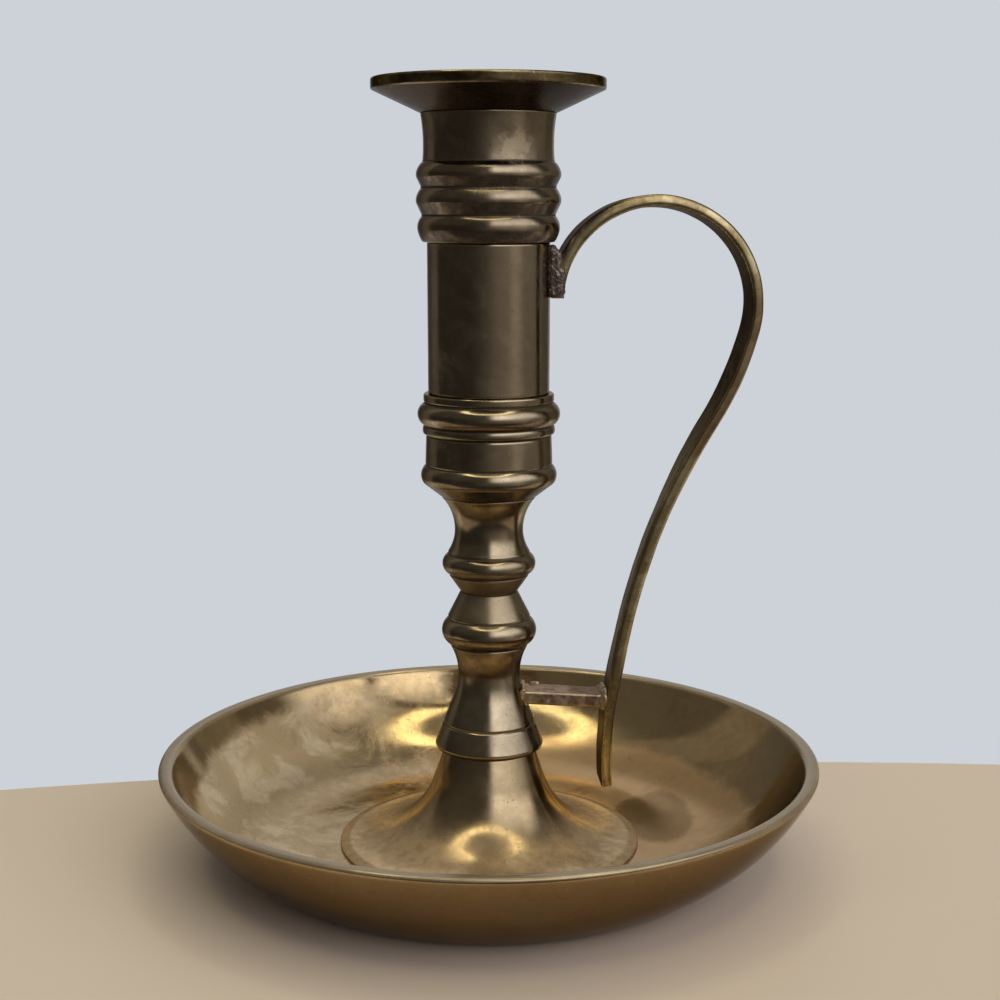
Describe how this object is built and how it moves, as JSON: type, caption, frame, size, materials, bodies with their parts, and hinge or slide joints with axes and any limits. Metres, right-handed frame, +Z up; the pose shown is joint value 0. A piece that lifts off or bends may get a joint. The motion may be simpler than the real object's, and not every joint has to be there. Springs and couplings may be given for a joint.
{
  "type": "chamberstick",
  "caption": "Aged brass chamberstick: round drip pan, trumpet foot, turned stem, ringed candle socket with a drip flange, and a flat strip bent to a finger loop.",
  "frame": {"origin": "on the table under the pan's centre, on the stem's axis", "axes": "+Z up along the stem to the candle socket, +X toward the finger loop"},
  "size_m": [0.136, 0.136, 0.1591],
  "materials": {
    "brass_pan": "turned, worn and cloudy",
    "brass_turned": "turned, darkened with age",
    "brass_strip": "filed strip, darkened",
    "braze": "rough, pitted",
    "screw_steel": "dull"
  },
  "bodies": {
    "root": {"pan": "brass_pan", "tie_screw": "screw_steel", "foot": "brass_turned", "lower_stem": "brass_turned", "upper_stem": "brass_turned", "socket_base": "brass_turned", "socket_tube": "brass_turned", "candle_cup": "brass_turned", "drip_flange": "brass_turned", "handle_strip": "brass_strip", "handle_bracket": "brass_strip", "braze_socket": "braze", "braze_stem": "braze", "braze_tail": "braze"}
  },
  "joints": []
}
